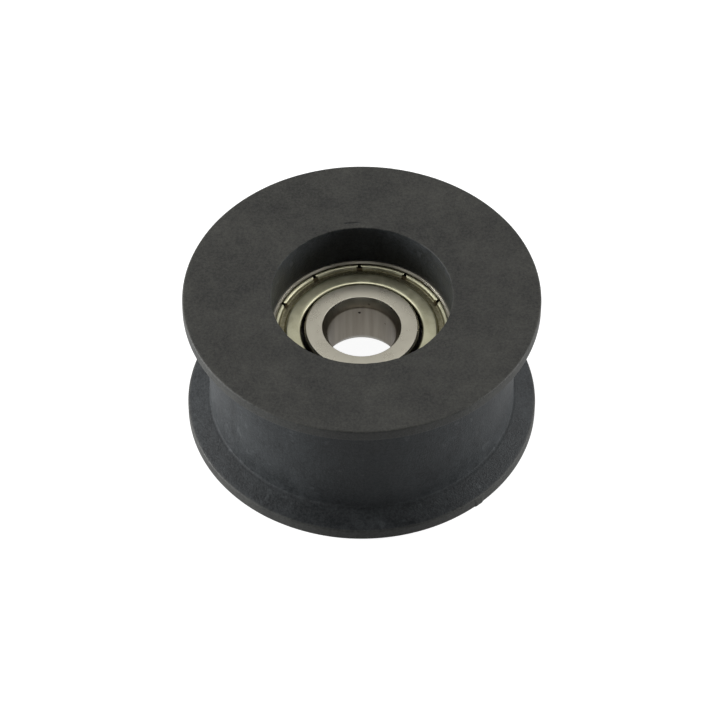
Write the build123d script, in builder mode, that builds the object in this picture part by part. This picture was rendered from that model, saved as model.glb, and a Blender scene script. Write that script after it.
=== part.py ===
from build123d import *
import os

os.makedirs("parts", exist_ok=True)

# Sizes are in millimetres. The origin is the centre of the lower flange's face, and the axle is Z.

# The wheel, moulded in nylon round the bearing
rim_diameter = 52.0
overall_width = 24.3
flange_height = 3.4
rim_land = 1.8
flank_taper = 1.45
drum_root_round = 0.5
rim_round = 0.3
upper_pocket_depth = 7.0
pocket_mouth_round = 0.15
ring_face_reveal = 0.2

# The ball bearing's rings
bore_diameter = 10.0
bearing_diameter = 30.0
bearing_width = 9.0
outer_corner_share = 0.3
bore_chamfer = 0.8
bore_chamfer_height = 1.4
bore_chamfer_round = 1.0
shoulder_share = 0.16
inner_shoulder_chamfer = 0.25
shield_groove = 1.35
outer_lip = 0.23
outer_lip_depth = 0.35
outer_mouth_flare = 0.28

# Balls and raceways
ball_count = 8
ball_clearance = 0.02
raceway_conformity = 0.52

# The cage, two pressed ribbons held by rivets
cage_sheet = 0.45
cage_side_gap = 0.4
pocket_clearance = 0.06
rivet_diameter = 0.8
rivet_head_diameter = 1.3
rivet_head_height = 0.35

# The pressed shields, given as the runs of the sheet's middle line from the curled rim inwards
shield_sheet = 0.3
shield_cage_gap = 0.36
shield_rim_gap = 0.05
curl_run = 0.47
curl_drop = 0.16
curl_bend = 0.18
slope_run = 0.21
channel_run = 0.9
channel_depth = 0.55
step_run = 0.22
step_height = 0.37
shield_bend = 0.25
shield_lip_gap = 0.47
notch_count = 11
notch_width = 0.5
notch_turn = 91.5

# The bearing's places, and the radii and levels inside it
bearing_top = overall_width - upper_pocket_depth
bearing_bottom = bearing_top - bearing_width
bearing_middle = bearing_top - bearing_width / 2
middle_plane = Plane.XY.offset(bearing_middle)
pitch_radius = (bore_diameter + bearing_diameter) / 4
shoulder_offset = shoulder_share * (bearing_diameter - bore_diameter) / 2
inner_shoulder_radius = pitch_radius - shoulder_offset
outer_shoulder_radius = pitch_radius + shoulder_offset
shield_groove_radius = outer_shoulder_radius + shield_groove
outer_lip_radius = shield_groove_radius - outer_lip
outer_mouth_radius = outer_lip_radius + outer_mouth_flare
outer_corner_round = outer_corner_share * (bearing_diameter / 2 - outer_mouth_radius)

# From the face inwards, the shield, the cage and the balls fill the bearing's width
curl_level = bearing_width / 2 - outer_lip_depth - shield_rim_gap - shield_sheet / 2
channel_level = curl_level - channel_depth
cage_height = channel_level - shield_sheet / 2 - shield_cage_gap
cage_width = 2 * (shoulder_offset - cage_side_gap)
cage_pocket_radius = cage_height - cage_sheet
ball_radius = cage_pocket_radius - pocket_clearance
ball_spacing = 360 / ball_count
raceway_radius = 2 * raceway_conformity * ball_radius
inner_raceway_centre = pitch_radius - ball_radius - ball_clearance + raceway_radius
outer_raceway_centre = pitch_radius + ball_radius + ball_clearance - raceway_radius


# The wheel is one moulding: two flanges, a plain drum, a pocket in each face and the bearing's seat
rim_radius = rim_diameter / 2
drum_radius = rim_radius - flange_height
lower_root = rim_land + flank_taper
upper_root = overall_width - lower_root
pocket_radius = outer_mouth_radius + ring_face_reveal
with BuildPart() as pulley_body:
    with BuildSketch(Plane.XZ):
        with BuildLine():
            Polyline(
                (0, 0),
                (rim_radius, 0),
                (rim_radius, rim_land),
                (drum_radius, lower_root),
                (drum_radius, upper_root),
                (rim_radius, overall_width - rim_land),
                (rim_radius, overall_width),
                (0, overall_width),
                close=True,
            )
        make_face()
    revolve(axis=Axis.Z)
    round_edges = pulley_body.edges().filter_by(GeomType.CIRCLE)
    fillet(round_edges.group_by(SortBy.RADIUS)[-1], radius=rim_round)
    fillet(round_edges.group_by(SortBy.RADIUS)[0], radius=drum_root_round)
    with BuildSketch():
        Circle(pocket_radius)
    extrude(amount=overall_width, mode=Mode.SUBTRACT)
    mouths = pulley_body.edges(Select.LAST).filter_by(GeomType.CIRCLE)
    fillet(mouths.group_by(SortBy.RADIUS)[0], radius=pocket_mouth_round)
    with BuildSketch(Plane.XZ) as seat:
        with Locations((0, bearing_middle)):
            Rectangle(bearing_diameter, bearing_width)
        fillet(seat.vertices(), radius=outer_corner_round)
        with Locations((-bearing_diameter / 2, bearing_middle)):
            Rectangle(bearing_diameter, bearing_width, mode=Mode.SUBTRACT)
    revolve(axis=Axis.Z, mode=Mode.SUBTRACT)
pulley_body.part.label = "pulley_body"
export_step(pulley_body.part, "parts/pulley_body.step")


# The outer ring: half its section is drawn above the middle and mirrored to the other face
outer_ring_radius = bearing_diameter / 2
shield_seat = bearing_middle + channel_level - shield_sheet
with BuildPart() as outer_ring:
    with BuildSketch(Plane.XZ) as outer_half:
        with BuildLine():
            Polyline(
                (outer_ring_radius, bearing_middle),
                (outer_ring_radius, bearing_top),
                (outer_mouth_radius, bearing_top),
                (outer_lip_radius, bearing_top - outer_lip_depth),
                (shield_groove_radius, bearing_top - outer_lip_depth),
                (shield_groove_radius, shield_seat),
                (outer_shoulder_radius, shield_seat),
                (outer_shoulder_radius, bearing_middle),
                close=True,
            )
        make_face()
        outer_corner = outer_half.vertices().group_by(Axis.X)[-1].sort_by(Axis.Y)[-1]
        fillet(outer_corner, radius=outer_corner_round)
        with Locations((outer_raceway_centre, bearing_middle)):
            Circle(raceway_radius, mode=Mode.SUBTRACT)
    revolve(axis=Axis.Z)
    mirror(about=middle_plane)
outer_ring.part.label = "outer_ring"
export_step(outer_ring.part, "parts/outer_ring.step")


# The inner ring, with the bore and its wide rounded mouths
bore_radius = bore_diameter / 2
with BuildPart() as inner_ring:
    with BuildSketch(Plane.XZ) as inner_half:
        with BuildLine():
            Polyline(
                (bore_radius, bearing_middle),
                (bore_radius, bearing_top - bore_chamfer_height),
                (bore_radius + bore_chamfer, bearing_top),
                (inner_shoulder_radius - inner_shoulder_chamfer, bearing_top),
                (inner_shoulder_radius, bearing_top - inner_shoulder_chamfer),
                (inner_shoulder_radius, bearing_middle),
                close=True,
            )
        make_face()
        mouth_corner = inner_half.vertices().group_by(Axis.X)[0].sort_by(Axis.Y)[-1]
        fillet(mouth_corner, radius=bore_chamfer_round)
        with Locations((inner_raceway_centre, bearing_middle)):
            Circle(raceway_radius, mode=Mode.SUBTRACT)
    revolve(axis=Axis.Z)
    mirror(about=middle_plane)
inner_ring.part.label = "inner_ring"
export_step(inner_ring.part, "parts/inner_ring.step")


# The balls
for number in range(ball_count):
    with BuildPart(middle_plane) as ball:
        with PolarLocations(pitch_radius, 1, start_angle=number * ball_spacing):
            Sphere(ball_radius)
    ball.part.label = f"ball_{number + 1}"
    export_step(ball.part, f"parts/ball_{number + 1}.step")


# Each half of the cage is a flat ribbon with a domed pocket over every ball
for name, upward in (("cage_upper", 1), ("cage_lower", -1)):
    half_plane = Plane(origin=(0, 0, bearing_middle), x_dir=(1, 0, 0), z_dir=(0, 0, upward))
    with BuildPart(half_plane) as cage_half:
        with PolarLocations(pitch_radius, ball_count):
            Sphere(cage_height)
        with BuildSketch(half_plane) as ribbon:
            Circle(pitch_radius + cage_width / 2)
            Circle(pitch_radius - cage_width / 2, mode=Mode.SUBTRACT)
        extrude(ribbon.sketch, amount=cage_height, mode=Mode.INTERSECT)
        extrude(ribbon.sketch, amount=cage_sheet)
        with PolarLocations(pitch_radius, ball_count):
            Sphere(cage_pocket_radius, mode=Mode.SUBTRACT)
        with PolarLocations(pitch_radius, ball_count, start_angle=ball_spacing / 2):
            Hole(rivet_diameter / 2)
    cage_half.part.label = name
    export_step(cage_half.part, f"parts/{name}.step")


# The rivets clamp the two ribbons between the balls, with a domed head at each end
rivet_grip = 2 * cage_sheet
with BuildPart(middle_plane) as cage_rivets:
    with PolarLocations(pitch_radius, ball_count, start_angle=ball_spacing / 2):
        Cylinder(rivet_diameter / 2, rivet_grip)
        for end in (-1, 1):
            with Locations((0, 0, end * (rivet_grip + rivet_head_height) / 2)):
                Cylinder(rivet_head_diameter / 2, rivet_head_height)
    head_rims = cage_rivets.edges().filter_by(GeomType.CIRCLE)
    fillet(head_rims.group_by(Axis.Z)[0] + head_rims.group_by(Axis.Z)[-1], radius=rivet_head_height / 2)
cage_rivets.part.label = "cage_rivets"
export_step(cage_rivets.part, "parts/cage_rivets.step")


# Each shield is one pressed sheet, drawn as its middle line from the curled rim to the inner lip.
# Levels are heights above the bearing's middle, and the lower shield is the same form turned over.
rim_line = shield_groove_radius - shield_sheet / 2
curl_line = rim_line - curl_run
channel_start = curl_line - slope_run
channel_end = channel_start - channel_run
band_start = channel_end - step_run
lip_line = inner_shoulder_radius + shield_lip_gap + shield_sheet / 2
band_level = channel_level + step_height
notch_length = shield_groove_radius - curl_line
for name, facing in (("shield_upper", 1), ("shield_lower", -1)):
    with BuildPart() as shield:
        with BuildSketch(Plane.XZ):
            with BuildLine():
                FilletPolyline(
                    (rim_line, bearing_middle + facing * channel_level),
                    (rim_line, bearing_middle + facing * curl_level),
                    (curl_line, bearing_middle + facing * (curl_level - curl_drop)),
                    (channel_start, bearing_middle + facing * channel_level),
                    (channel_end, bearing_middle + facing * channel_level),
                    (band_start, bearing_middle + facing * band_level),
                    (lip_line, bearing_middle + facing * band_level),
                    (lip_line, bearing_middle + facing * channel_level),
                    radius=[curl_bend] * 2 + [shield_bend] * 4,
                )
            trace(line_width=shield_sheet)
        revolve(axis=Axis.Z)
        with PolarLocations(shield_groove_radius, notch_count, start_angle=notch_turn):
            Box(2 * notch_length, notch_width, 2 * overall_width, mode=Mode.SUBTRACT)
    shield.part.label = name
    export_step(shield.part, f"parts/{name}.step")
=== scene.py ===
import math

import bpy
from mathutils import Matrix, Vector, noise


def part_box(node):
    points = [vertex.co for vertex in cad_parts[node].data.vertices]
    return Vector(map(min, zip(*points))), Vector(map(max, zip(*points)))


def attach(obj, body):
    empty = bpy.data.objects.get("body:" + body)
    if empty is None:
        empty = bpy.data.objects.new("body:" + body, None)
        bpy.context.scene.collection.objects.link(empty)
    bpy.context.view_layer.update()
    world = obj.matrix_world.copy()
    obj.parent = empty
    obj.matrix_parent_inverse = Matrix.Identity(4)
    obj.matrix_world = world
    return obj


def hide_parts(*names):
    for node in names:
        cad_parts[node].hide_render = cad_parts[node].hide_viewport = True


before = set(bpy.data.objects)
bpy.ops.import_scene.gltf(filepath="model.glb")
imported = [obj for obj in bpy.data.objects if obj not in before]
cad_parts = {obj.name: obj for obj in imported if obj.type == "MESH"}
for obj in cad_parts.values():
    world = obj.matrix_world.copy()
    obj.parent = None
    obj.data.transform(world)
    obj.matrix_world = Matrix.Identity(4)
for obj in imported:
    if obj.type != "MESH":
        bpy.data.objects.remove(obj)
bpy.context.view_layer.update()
scene = bpy.context.scene


# The camera stands where the photographer stood: a long lens above the front, looking down
# into the upper pocket at about 49 degrees. The picture is square, and the sensor is its width.
lens_length = 161.43
sensor_width = 36.0
camera_place = (-0.00025, -0.31356, 0.37013)
camera_tilt = 41.031

camera_data = bpy.data.cameras.new("camera")
camera_data.lens = lens_length
camera_data.sensor_width = sensor_width
camera_data.clip_start = 0.01
camera_data.clip_end = 20.0
camera = bpy.data.objects.new("camera", camera_data)
camera.location = camera_place
camera.rotation_euler = (math.radians(camera_tilt), 0.0, 0.0)
scene.collection.objects.link(camera)
scene.camera = camera
scene.view_settings.view_transform = "Standard"


# The wheel is one moulding in black nylon: two flanges with a plain drum between them, a round
# pocket in each face, and a seat between the pockets that closed round the bearing as it set.
class Shade:
    """A socket of one material's nodes, so that finishes are written as expressions."""

    def __init__(self, tree, socket=None):
        self.tree = tree
        self.socket = socket

    def node(self, kind, settings=None, inputs=None, out=0):
        """Adds a node, sets its settings first, then fills its sockets with numbers or links."""
        new = self.tree.nodes.new("ShaderNode" + kind)
        for name, value in (settings or {}).items():
            setattr(new, name, value)
        for name, value in (inputs or {}).items():
            if isinstance(value, Shade):
                self.tree.links.new(value.socket, new.inputs[name])
            elif isinstance(value, tuple) and new.inputs[name].type == "RGBA":
                new.inputs[name].default_value = (*value, 1.0)
            else:
                new.inputs[name].default_value = value
        return Shade(self.tree, new.outputs[out] if len(new.outputs) else None)

    def math(self, operation, *values):
        return self.node("Math", {"operation": operation}, dict(enumerate(values)))

    def __add__(self, other):
        return self.math("ADD", self, other)

    __radd__ = __add__

    def __sub__(self, other):
        return self.math("SUBTRACT", self, other)

    def __rsub__(self, other):
        return self.math("SUBTRACT", other, self)

    def __mul__(self, other):
        return self.math("MULTIPLY", self, other)

    __rmul__ = __mul__

    def __abs__(self):
        return self.math("ABSOLUTE", self)


def part_millimetres(shade):
    """Places on the piece itself, in millimetres."""
    place = shade.node("TexCoord", out="Object")
    return shade.node("VectorMath", {"operation": "SCALE"}, {0: place, "Scale": 1000.0})


def along_axis(shade, place, axis):
    """How far a place lies along X, Y or Z, in millimetres."""
    return shade.node("SeparateXYZ", inputs={0: place}, out=axis)


def squeezed(shade, place, share):
    """Places with their heights cut down to a share, which draws a pattern out along the axle."""
    return shade.node("VectorMath", {"operation": "MULTIPLY"}, {0: place, 1: (1.0, 1.0, share)})


def axle_distance(shade, place):
    """How far a place lies from the axle, in millimetres."""
    flat = squeezed(shade, place, 0.0)
    return shade.node("VectorMath", {"operation": "LENGTH"}, {0: flat}, out="Value")


def ease(shade, value, start, end):
    """A soft step from 0 at start to 1 at end."""
    inputs = {"Value": value, "From Min": start, "From Max": end}
    return shade.node("MapRange", {"interpolation_type": "SMOOTHSTEP"}, inputs)


def between(shade, value, rise, fall):
    """1 between a soft rise and a soft fall, each given as its start and end."""
    return ease(shade, value, *rise) * (1 - ease(shade, value, *fall))


def speckle(shade, place, scale, detail=3.0, roughness=0.5):
    """Cloudy noise from 0 to 1, with its scale in features per millimetre."""
    inputs = {"Vector": place, "Scale": scale, "Detail": detail, "Roughness": roughness}
    return shade.node("TexNoise", inputs=inputs)


def patches(shade, place, scale, detail=3.0, roughness=0.5, low=0.3, high=0.7):
    """The same noise with more contrast: 0 up to low, 1 from high on."""
    return ease(shade, speckle(shade, place, scale, detail, roughness), low, high)


def mixed(shade, share, first, second):
    """One colour turning into another by a share from 0 to 1."""
    return shade.node("Mix", {"data_type": "RGBA"}, {0: share, 6: first, 7: second}, out=2)


def finish(name, make):
    """A new material whose surface shader comes from make."""
    material = bpy.data.materials.new(name)
    material.use_nodes = True
    material.node_tree.nodes.clear()
    shade = Shade(material.node_tree)
    shade.node("OutputMaterial", inputs={"Surface": make(shade)})
    return material


def rounded(corners, closed=True, fineness=6):
    """Points of an outline in which each corner (radius, height, round) is an arc."""
    points = []
    count = len(corners)
    for index, (radius, height, bend) in enumerate(corners):
        corner = Vector((radius, height))
        if bend == 0 or (not closed and index in (0, count - 1)):
            points.append(tuple(corner))
            continue
        before = (Vector(corners[index - 1][:2]) - corner).normalized()
        after = (Vector(corners[(index + 1) % count][:2]) - corner).normalized()
        half = math.acos(max(-1.0, min(1.0, before.dot(after)))) / 2
        middle = (before + after).normalized()
        centre = corner + middle * (bend / math.sin(half))
        first = corner + before * (bend / math.tan(half)) - centre
        last = corner + after * (bend / math.tan(half)) - centre
        sweep = first.angle_signed(last)
        start = math.atan2(first.y, first.x)
        for step in range(fineness + 1):
            angle = start - sweep * step / fineness
            points.append((centre.x + bend * math.cos(angle), centre.y + bend * math.sin(angle)))
    return points


def divided(points, longest, closed=True):
    """The same outline with its long straight runs cut into even shorter ones."""
    result = []
    for index, point in enumerate(points):
        result.append(point)
        if not closed and index == len(points) - 1:
            break
        following = points[(index + 1) % len(points)]
        run = math.dist(point, following)
        parts = max(1, math.ceil(run / longest))
        for part in range(1, parts):
            share = part / parts
            result.append(tuple(a + (b - a) * share for a, b in zip(point, following)))
    return result


def new_piece(name, vertices, faces, material, sharp=35.0):
    """A smooth mesh object from points in millimetres."""
    mesh = bpy.data.meshes.new(name)
    mesh.from_pydata([tuple(c * 0.001 for c in v) for v in vertices], [], faces)
    mesh.validate()
    mesh.shade_smooth()
    mesh.set_sharp_from_angle(angle=math.radians(sharp))
    mesh.materials.append(material)
    piece = bpy.data.objects.new(name, mesh)
    scene.collection.objects.link(piece)
    return piece


def turned(name, outline, turns, material, reshape=None):
    """A ring-shaped mesh: a closed outline at each turn round the axle, its points moved by reshape."""
    vertices = []
    for turn in turns:
        for radius, height in outline:
            if reshape:
                radius, height = reshape(radius, height, turn)
            vertices.append((radius * math.cos(turn), radius * math.sin(turn), height))
    count = len(outline)
    faces = []
    for step in range(len(turns)):
        this, following = step * count, (step + 1) % len(turns) * count
        for point in range(count):
            after = (point + 1) % count
            faces.append((this + point, following + point, following + after, this + after))
    return new_piece(name, vertices, faces, material)


def even_turns(steps):
    """Angles set out evenly round the axle, in radians."""
    return [2 * math.pi * step / steps for step in range(steps)]


def soft_step(value, start, end):
    """0 before start, 1 past end, and a smooth rise between."""
    share = min(1.0, max(0.0, (value - start) / (end - start)))
    return share * share * (3 - 2 * share)


def node_extent(node):
    """A round CAD node's radius and its lowest and highest level, in millimetres."""
    low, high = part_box(node)
    return 1000 * (high.x - low.x) / 2, 1000 * low.z, 1000 * high.z


rim_radius, _, wheel_width = node_extent("pulley_body")
bearing_radius, bearing_bottom, bearing_top = node_extent("outer_ring")
flange_height = 3.4
drum_radius = rim_radius - flange_height
rim_land = 1.8
flank_taper = 1.45
flange_root = rim_land + flank_taper
seat_lip = 1.8
pocket_radius = bearing_radius - seat_lip
pocket_mouth_round = 0.15
rim_round = 0.3
root_round = 0.5
bearing_corner = 0.6
seat_grip = 0.01
longest_run = 0.5
wheel_steps = 360
level_slack = 0.001
waver_rise = 0.1
mouth_waver, mouth_waves, mouth_reach = 0.05, 14, 0.2
rim_waver, rim_waves, rim_reach = 0.03, 5, 0.4
gate_radius, gate_reach, gate_depth = 14.3, 0.17, 0.12
gate_turn, gate_spread, gate_plateau = 95.8, 5.75, 0.8
nick_turn, nick_spread, nick_plateau = -48.7, 1.85, 0.7
nick_height, nick_level, nick_end = 0.12, 1.0, 1.4
nick_margin, nick_steps = 1.3, 24
face_edge = (wheel_width / 2 - 0.12, wheel_width / 2 - 0.03)
pocket_edge = (pocket_radius, pocket_radius + 0.3)
land_edge = (rim_radius - 0.4, rim_radius - 0.1)
flank_edge = (drum_radius, drum_radius + 0.2)
root_rise = (drum_radius, drum_radius + 0.1)
root_fall = (drum_radius + 0.3, drum_radius + 0.6)
nylon_dark = (0.0040, 0.0042, 0.0040)
nylon_worn_and_sheen = (0.0700, 0.0694, 0.0620)
drum_dark = (0.0050, 0.0062, 0.0072)
drum_worn_and_sheen = (0.0590, 0.0645, 0.0680)


def moulded(radius, height, turn):
    """A point of the wheel with the moulding's small faults: wavering edges, gate mark and nick."""
    way = Vector((math.cos(turn), math.sin(turn), waver_rise * height))
    degrees = math.degrees(turn)
    near_face = height > wheel_width - mouth_reach or height < mouth_reach
    if radius < pocket_radius + mouth_reach and near_face:
        radius += mouth_waver * noise.noise(way * mouth_waves)
    if radius > rim_radius - rim_reach:
        radius -= rim_waver * (0.5 + 0.5 * noise.noise(way * rim_waves))
        away = abs((degrees - nick_turn + 180) % 360 - 180)
        bump = 1 - soft_step(away, nick_plateau * nick_spread, nick_spread)
        radius += nick_height * bump * (1 - soft_step(height, nick_level, nick_end))
    if height > wheel_width - level_slack:
        inside = 1 - soft_step(abs(radius - gate_radius), 0.0, gate_reach)
        along = 1 - soft_step(abs(degrees - gate_turn) / gate_spread, gate_plateau, 1.0)
        height -= gate_depth * inside * along
    return radius, height


def nylon(shade):
    """Black nylon, cloudy and finely grained, paler on the flat faces, with wear and a painted sheen on
    the rim lands and painted shade on the flanks and pocket walls.
    """
    place = part_millimetres(shade)
    radius = axle_distance(shade, place)
    height = along_axis(shade, place, "Z")
    blotches = patches(shade, place, 0.13, low=0.32, high=0.68)
    clouds = patches(shade, place, 0.42, roughness=0.55)
    grain = patches(shade, place, 2.6, detail=2.0, roughness=0.6, low=0.33, high=0.67)
    streaks = patches(shade, squeezed(shade, place, 0.18), 1.3, roughness=0.6)
    fine = patches(shade, place, 6.0, detail=2.0, roughness=0.6)
    scuffs = patches(shade, place, 0.55, detail=2.0, roughness=0.4, low=0.66, high=0.74)
    face = ease(shade, abs(height - wheel_width / 2), *face_edge)
    # Painted shade: the pocket walls are darkened as if in the pocket's shade.
    pocket = 1 - ease(shade, radius, *pocket_edge)
    # Wear and painted sheen: the rim lands are lightened, partly for wear and partly as a painted
    # highlight on their rounded edges.
    land = ease(shade, radius, *land_edge)
    # Painted shade: the flanks of both flanges, which face each other across the drum, are darkened.
    flank = ease(shade, radius, *flank_edge) * (1 - land)
    root = between(shade, radius, root_rise, root_fall)
    tone = 0.22 * blotches + 0.2 * clouds + 0.28 * grain + 0.1 * streaks + 0.2 * fine
    # Wear and a painted sheen lighten the rim lands in the flat colour, the side colour and the share
    # between them.
    flat_colour = mixed(shade, tone + 0.18 * land, nylon_dark, nylon_worn_and_sheen)
    # Painted shade darkens the flanks and pocket walls in the side colour.
    side_tone = tone + 0.3 * scuffs + 0.25 * land - 0.12 * flank - 0.08 * pocket
    side_colour = mixed(shade, side_tone, drum_dark, drum_worn_and_sheen)
    colour = mixed(shade, face + 0.7 * land, side_colour, flat_colour)
    rough = 0.4 + 0.08 * face + 0.1 * clouds + 0.08 * grain + 0.06 * blotches - 0.06 * scuffs
    rough += 0.25 * root * (1 - face)
    relief = 0.45 * grain + 0.4 * fine + 0.15 * streaks
    bump = shade.node("Bump", inputs={"Strength": 0.4, "Distance": 0.00008, "Height": relief})
    sockets = {"Base Color": colour, "Roughness": rough, "Normal": bump, "Specular IOR Level": 0.25}
    return shade.node("BsdfPrincipled", inputs=sockets)


wheel_nylon = finish("wheel_nylon", nylon)

wheel_section = rounded([
    (pocket_radius, 0.0, pocket_mouth_round),
    (rim_radius, 0.0, rim_round),
    (rim_radius, rim_land, rim_round),
    (drum_radius, flange_root, root_round),
    (drum_radius, wheel_width - flange_root, root_round),
    (rim_radius, wheel_width - rim_land, rim_round),
    (rim_radius, wheel_width, rim_round),
    *[(gate_radius + gate_reach * share, wheel_width, 0.0) for share in (1, 0, -1)],
    (pocket_radius, wheel_width, pocket_mouth_round),
    (pocket_radius, bearing_top - seat_grip, 0.0),
    (bearing_radius, bearing_top - seat_grip, bearing_corner),
    (bearing_radius, bearing_bottom + seat_grip, bearing_corner),
    (pocket_radius, bearing_bottom + seat_grip, 0.0),
])
nick_from, nick_to = (
    math.radians(nick_turn + side * nick_margin * nick_spread) % (2 * math.pi) for side in (-1, 1)
)
nick_turns = [nick_from + (nick_to - nick_from) * step / nick_steps for step in range(nick_steps + 1)]
other_turns = [turn for turn in even_turns(wheel_steps) if not nick_from <= turn <= nick_to]
wheel_turns = sorted(other_turns + nick_turns)
wheel = turned("wheel", divided(wheel_section, longest_run), wheel_turns, wheel_nylon, moulded)
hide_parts("pulley_body")
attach(wheel, "wheel")


# The outer ring of the ball bearing is hardened steel, turned and ground. The nylon hides all of
# it but the edge of its mouth, which holds the curled rim of the shield under a small lip.
bearing_middle = (bearing_top + bearing_bottom) / 2
half_width = (bearing_top - bearing_bottom) / 2
outer_shoulder = 11.6
shield_groove = 12.95
outer_lip = 12.72
outer_mouth = 13.0
outer_lip_depth = 0.35
shield_seat = 3.1
shoulder_round = 0.05
edge_break = 0.04
pitch_radius = 10.0
ball_radius = node_extent("ball_1")[0]
ball_clearance = 0.02
raceway_share = 1.04
raceway_radius = raceway_share * ball_radius
outer_raceway_centre = pitch_radius + ball_radius + ball_clearance - raceway_radius
outer_steps = 360
outer_edge = (outer_shoulder, outer_shoulder + 0.5)
bore_radius = 5.0
bore_edge = (bore_radius + 0.05, bore_radius + 0.5)
ground_steel = (0.375, 0.352, 0.29)
ground_pale = (0.43, 0.41, 0.34)
honed_dark = (0.33, 0.298, 0.252)
honed_pale = (0.41, 0.375, 0.318)
pit_dark = (0.06, 0.05, 0.045)


def raceway(centre, shoulder, outward, fineness=16):
    """The arc of a ball's track from the upper shoulder to the lower one."""
    reach = math.acos(abs(shoulder - centre) / raceway_radius)
    angles = [reach * (1 - 2 * step / fineness) for step in range(fineness + 1)]
    return [
        (centre + outward * raceway_radius * math.cos(angle),
         bearing_middle + raceway_radius * math.sin(angle), 0.0)
        for angle in angles
    ]


def lower_half(corners):
    """The same corners mirrored in the bearing's middle, in the opposite order."""
    return [(radius, 2 * bearing_middle - height, bend) for radius, height, bend in reversed(corners)]


def steel(shade):
    """Ground steel, and in the bore honed steel with faint streaks and small pits."""
    place = part_millimetres(shade)
    radius = axle_distance(shade, place)
    clouds = speckle(shade, place, 0.5)
    streaks = patches(shade, squeezed(shade, place, 0.05), 1.1, roughness=0.6)
    pits = patches(shade, place, 1.3, detail=1.0, roughness=0.3, low=0.74, high=0.79)
    bore = 1 - ease(shade, radius, *bore_edge)
    ground = mixed(shade, clouds, ground_steel, ground_pale)
    honed = mixed(shade, pits, mixed(shade, streaks, honed_dark, honed_pale), pit_dark)
    colour = mixed(shade, bore, ground, honed)
    on_outer = ease(shade, radius, *outer_edge)
    rough = 0.24 + 0.08 * clouds + 0.08 * bore + 0.2 * bore * pits + 0.1 * on_outer
    sockets = {"Base Color": colour, "Metallic": 1.0, "Roughness": rough}
    return shade.node("BsdfPrincipled", inputs=sockets)


ring_steel = finish("ring_steel", steel)
upper_outer = [
    (outer_mouth, bearing_middle + half_width, edge_break),
    (outer_lip, bearing_middle + half_width - outer_lip_depth, edge_break),
    (shield_groove, bearing_middle + half_width - outer_lip_depth, 0.0),
    (shield_groove, bearing_middle + shield_seat, 0.0),
    (outer_shoulder, bearing_middle + shield_seat, shoulder_round),
]
outer_section = rounded([
    (bearing_radius, bearing_bottom, bearing_corner),
    (bearing_radius, bearing_top, bearing_corner),
    *upper_outer,
    *raceway(outer_raceway_centre, outer_shoulder, 1),
    *lower_half(upper_outer),
])
outer = turned("outer_ring_steel", outer_section, even_turns(outer_steps), ring_steel)
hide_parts("outer_ring")
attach(outer, "wheel")


# The inner ring stands still: its bore takes the bolt, and spacers clamp its two ground faces.
# The mouths of the bore are rounded off so that the bolt finds its way in.
bore_mouth = 0.8
bore_mouth_height = 1.4
bore_mouth_round = 1.0
bore_face_round = 0.1
inner_shoulder = node_extent("inner_ring")[0]
inner_edge = 0.25
inner_raceway_centre = 2 * pitch_radius - outer_raceway_centre
inner_steps = 288

upper_inner = [
    (inner_shoulder, bearing_middle + half_width - inner_edge, edge_break),
    (inner_shoulder - inner_edge, bearing_middle + half_width, edge_break),
    (bore_radius + bore_mouth, bearing_middle + half_width, bore_face_round),
    (bore_radius, bearing_middle + half_width - bore_mouth_height, bore_mouth_round),
]
inner_section = rounded([
    *lower_half(upper_inner),
    *reversed(raceway(inner_raceway_centre, inner_shoulder, -1)),
    *upper_inner,
])
inner = turned("inner_ring_steel", inner_section, even_turns(inner_steps), ring_steel)
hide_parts("inner_ring")
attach(inner, "hub")


# Each shield is one pressing in zinc-plated sheet. Its curled rim snaps under the lip of the
# outer ring, notches let it spring, and its turned-down inner lip runs clear of the inner ring.
sheet = 0.3
rim_line, curl_line, slope_foot = 12.8, 12.33, 12.12
channel_end, band_start, lip_line = 11.22, 11.0, 9.02
curl_level, channel_level, band_level = 3.95, 3.4, 3.77
curl_drop = 0.16
curl_bend, sheet_bend = 0.18, 0.25
notch_count = 11
notch_width = 0.5
notch_start = curl_line
notch_turn = math.radians(91.5)
notch_sector = 2 * math.pi / notch_count
die_roll, roll_reach = 0.09, 0.2
dimple_depth, dimple_reach = 0.08, 0.55
dent_rise, dent_fall = (slope_foot - 0.2, slope_foot), (notch_start, notch_start + 0.1)
dent_edge = (0.1, dimple_reach)
brown_rise, brown_fall = (channel_end - 0.2, channel_end), (slope_foot - 0.05, slope_foot + 0.1)
foot_rise, foot_fall = (slope_foot - 0.5, slope_foot - 0.1), (notch_start, notch_start + 0.06)
foot_edge = (0.5 * dimple_reach, dimple_reach)
sheet_run = 0.3
tab_steps = 28
notch_steps = 4
zinc_olive = (0.385, 0.372, 0.255)
zinc_pale = (0.485, 0.472, 0.34)
# Grime and painted shade: the brown of the channel beside the curl.
channel_brown = (0.17, 0.15, 0.085)
# Painted shadow: the dark brown of the dimple at each notch's foot.
dimple_shadow_brown = (0.07, 0.055, 0.03)


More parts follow.
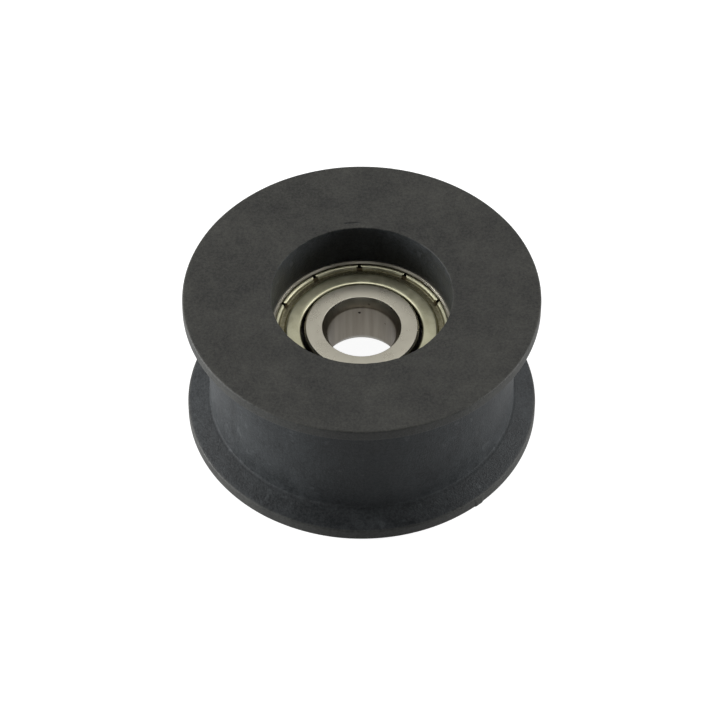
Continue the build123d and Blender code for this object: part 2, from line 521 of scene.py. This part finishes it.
def zinc(shade):
    """Zinc-plated sheet, browned in the channel with grime and painted shade, and darkest in the dimple
    at each notch's foot, a painted shadow.
    """
    place = part_millimetres(shade)
    radius = axle_distance(shade, place)
    turn = shade.math("ARCTAN2", along_axis(shade, place, "Y"), along_axis(shade, place, "X"))
    sectors = (turn - notch_turn) * (1 / notch_sector) + 0.5
    arc = abs(shade.math("FRACT", sectors) - 0.5) * notch_sector * radius
    clouds = patches(shade, place, 0.6)
    grit = patches(shade, place, 4.0, roughness=0.6)
    # Grime and painted shade: the channel is browned and darkened, partly where the pocket wall shades
    # it.
    gutter = between(shade, radius, brown_rise, brown_fall)
    # Painted shadow: the dimple at each notch's foot is painted dark brown.
    dimple = between(shade, radius, foot_rise, foot_fall) * (1 - ease(shade, arc, *foot_edge))
    clean = mixed(shade, 0.65 * clouds + 0.35 * grit, zinc_olive, zinc_pale)
    grimy_and_shaded = mixed(shade, gutter * (0.45 + 0.55 * grit), clean, channel_brown)
    colour = mixed(shade, dimple, grimy_and_shaded, dimple_shadow_brown)
    rough = 0.29 + 0.05 * clouds + 0.03 * grit + 0.05 * gutter
    sockets = {"Base Color": colour, "Metallic": 1.0, "Roughness": rough}
    return shade.node("BsdfPrincipled", inputs=sockets)


shield_zinc = finish("shield_zinc", zinc)
shield_line = divided(rounded([
    (rim_line, channel_level, 0.0),
    (rim_line, curl_level, curl_bend),
    (curl_line, curl_level - curl_drop, curl_bend),
    (slope_foot, channel_level, sheet_bend),
    (channel_end, channel_level, sheet_bend),
    (band_start, band_level, sheet_bend),
    (lip_line, band_level, sheet_bend),
    (lip_line, channel_level, 0.0),
], closed=False), sheet_run, closed=False)


def pressed(radius, turn, side):
    """How far the die roll at a notch's edge and the dimple at its foot lower a point of the sheet."""
    arc = abs(((turn - notch_turn) / notch_sector + 0.5) % 1 - 0.5) * notch_sector * radius
    roll = 0.0
    if side == 1 and radius >= notch_start:
        roll = die_roll * (1 - soft_step(arc - notch_width / 2, 0.0, roll_reach))
    foot = soft_step(radius, *dent_rise) * (1 - soft_step(radius, *dent_fall))
    return roll + dimple_depth * foot * (1 - soft_step(arc, *dent_edge))


def shield_mesh(name, facing):
    """The sheet's two sides along its middle line, turned round the axle with notches left out."""
    sides = []
    for index, point in enumerate(shield_line):
        before = Vector(shield_line[max(index - 1, 0)])
        after = Vector(shield_line[min(index + 1, len(shield_line) - 1)])
        along = (after - before).normalized()
        across = Vector((-along.y, along.x)) * (sheet / 2)
        place = Vector(point)
        sides.append((place - across, place + across))
    last_notched = max(i for i, point in enumerate(shield_line) if point[0] > notch_start)
    stations = len(sides)
    vertices, columns, faces = [], [], []

    def column(first, middle, lean):
        """Adds a radial cut from station first on, turned from middle by lean times half a notch."""
        rows = {}
        for station in range(first, stations):
            for side in (0, 1):
                radius, level = sides[station][side]
                turn = middle + lean * math.asin(notch_width / 2 / radius)
                height = bearing_middle + facing * (level - pressed(radius, turn, side))
                vertices.append((radius * math.cos(turn), radius * math.sin(turn), height))
                rows[station, side] = len(vertices) - 1
        columns.append((first, rows))

    def wall(*corners):
        """Adds a face, turned round for a shield that faces down."""
        faces.append(corners if facing > 0 else corners[::-1])

    for tab in range(notch_count):
        tab_turn = notch_turn + tab * notch_sector
        for step in range(tab_steps + 1):
            share = 0.5 - 0.5 * math.cos(math.pi * step / tab_steps)
            column(0, tab_turn + share * notch_sector, 1 - 2 * share)
        for step in range(1, notch_steps):
            column(last_notched, tab_turn + notch_sector, 2 * step / notch_steps - 1)
    for index, (first, here) in enumerate(columns):
        later, there = columns[(index + 1) % len(columns)]
        start = max(first, later)
        for station in range(start, stations - 1):
            wall(here[station, 1], there[station, 1], there[station + 1, 1], here[station + 1, 1])
            wall(here[station, 0], here[station + 1, 0], there[station + 1, 0], there[station, 0])
        end = stations - 1
        wall(here[end, 1], there[end, 1], there[end, 0], here[end, 0])
        wall(here[start, 0], there[start, 0], there[start, 1], here[start, 1])
        if first < start or later < start:
            notched, turned_away = (here, first < start) if first < start else (there, False)
            for station in range(last_notched):
                corners = (notched[station, 0], notched[station, 1],
                           notched[station + 1, 1], notched[station + 1, 0])
                wall(*(corners if turned_away else corners[::-1]))
    return new_piece(name, vertices, faces, shield_zinc, sharp=40.0)


for node, facing in (("shield_upper", 1), ("shield_lower", -1)):
    shield = shield_mesh(node + "_zinc", facing)
    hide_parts(node)
    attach(shield, "wheel")


# The cage is two pressed steel ribbons, held together between the balls by eight small rivets. A
# film of dark grease dulls it, as the bearing is packed with grease for life; its darkness is also
# painted shade inside the bearing.
# Grease colour, darkened partly as painted shade for the inside of the bearing.
grease_and_shade_brown = (0.035, 0.033, 0.028)
ribbon_pale = (0.3, 0.29, 0.27)


def ribbon_steel(shade):
    """Pressed steel under a thin, uneven film of grease, darkened partly as painted shade."""
    place = part_millimetres(shade)
    clouds = patches(shade, place, 0.9)
    colour = mixed(shade, 0.05 + 0.2 * clouds, grease_and_shade_brown, ribbon_pale)
    sockets = {"Base Color": colour, "Metallic": 0.5, "Roughness": 0.5 + 0.15 * clouds}
    return shade.node("BsdfPrincipled", inputs=sockets)


def painted(nodes, material):
    """Gives CAD nodes that keep their own mesh one of the scene's materials."""
    for node in nodes:
        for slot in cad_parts[node].material_slots:
            slot.material = material


cage_steel = finish("cage_steel", ribbon_steel)
painted(("cage_upper", "cage_lower", "cage_rivets"), cage_steel)


# Eight balls of polished bearing steel roll between the two rings. They carry the same film of
# grease, smeared thinner, so that they shine through it; their darkness is also painted shade
# inside the bearing.
ball_count = 8
ball_pale = (0.5, 0.5, 0.49)


def mirror_steel(shade):
    """Polished steel with smears of grease, darkened partly as painted shade."""
    place = part_millimetres(shade)
    smears = patches(shade, place, 0.7, low=0.35, high=0.65)
    colour = mixed(shade, 0.08 + 0.25 * smears, grease_and_shade_brown, ball_pale)
    sockets = {"Base Color": colour, "Metallic": 0.7, "Roughness": 0.4 - 0.12 * smears}
    return shade.node("BsdfPrincipled", inputs=sockets)


ball_steel = finish("ball_steel", mirror_steel)
painted([f"ball_{number}" for number in range(1, ball_count + 1)], ball_steel)


# A plain floor keeps a faint shadow and is lifted to white by a glow of its own. The light is soft,
# from a pale room and broad lamps above, on both sides and in front. Two dark cards keep the
# room's front and ceiling out of the metal.
floor_reach = 3.0
floor_grey = (0.35, 0.35, 0.35)
floor_lift = 0.94
floor_mirror_lift = 0.465
room_seen = 1.0
room_mirrored = 0.78
room_lit = 0.05
plain_white = (1.0, 1.0, 1.0)
card_dark = (0.01, 0.01, 0.01)
card_front, card_top = -1.1, 1.2


def ray_kinds(shade):
    """1 for what the camera sees straight on, in a mirror, and through glass."""
    path = shade.node("LightPath").socket.node
    return [Shade(shade.tree, path.outputs[name])
            for name in ("Is Camera Ray", "Is Glossy Ray", "Is Transmission Ray")]


def floor_paint(shade):
    """Matt paint that takes the shadow, and a glow that differs for the camera and for mirrors."""
    lit = shade.node("BsdfDiffuse", inputs={"Color": floor_grey})
    camera_ray, glossy_ray, through_ray = ray_kinds(shade)
    strength = floor_lift * (camera_ray + through_ray) + floor_mirror_lift * glossy_ray
    glow = shade.node("Emission", inputs={"Color": plain_white, "Strength": strength})
    return shade.node("AddShader", inputs={0: lit, 1: glow})


def card_paint(shade):
    """Matt black."""
    return shade.node("BsdfDiffuse", inputs={"Color": card_dark})


def stage_sheet(name, reach, first, second, material):
    """A flat sheet with its reach to each side, and two edges given by their place in Y and height."""
    corners = [(-reach, *first), (reach, *first), (reach, *second), (-reach, *second)]
    mesh = bpy.data.meshes.new(name)
    mesh.from_pydata(corners, [], [(0, 1, 2, 3)])
    mesh.materials.append(material)
    piece = bpy.data.objects.new(name, mesh)
    scene.collection.objects.link(piece)
    return piece


floor_white = finish("floor_white", floor_paint)
stage_sheet("floor", floor_reach, (-floor_reach, 0.0), (floor_reach, 0.0), floor_white)
card_black = finish("card_black", card_paint)
for name, reach, first, second in (
    ("ceiling_card", 1.0, (card_front, card_top), (0.25, card_top)),
    ("front_card", 0.9, (card_front, 0.15), (card_front, card_top)),
):
    card = stage_sheet(name, reach, first, second, card_black)
    card.visible_camera = False

world = bpy.data.worlds.new("pale_room")
world.use_nodes = True
world.node_tree.nodes.clear()
room = Shade(world.node_tree)
camera_ray, glossy_ray, through_ray = ray_kinds(room)
seen = (room_seen - room_lit) * (camera_ray + through_ray) + (room_mirrored - room_lit) * glossy_ray
sky = room.node("Background", inputs={"Color": plain_white, "Strength": seen + room_lit})
room.node("OutputWorld", inputs={"Surface": sky})
scene.world = world

for name, place, size, power in (
    ("lamp_above", (0.0, 0.1, 0.42), 0.22, 0.4),
    ("lamp_left", (-0.45, 0.03, 0.09), 0.18, 3.1),
    ("lamp_right", (0.45, 0.06, 0.09), 0.18, 1.8),
    ("lamp_left_high", (-0.3, 0.1, 0.4), 0.22, 0.35),
    ("lamp_right_high", (0.32, 0.14, 0.4), 0.22, 0.47),
    ("lamp_front", (0.0, -0.5, 0.15), 0.3, 0.23),
):
    lamp_data = bpy.data.lights.new(name, "AREA")
    lamp_data.size = size
    lamp_data.energy = power
    lamp = bpy.data.objects.new(name, lamp_data)
    lamp.location = place
    lamp.rotation_euler = (-Vector(place)).to_track_quat("-Z", "Y").to_euler()
    scene.collection.objects.link(lamp)
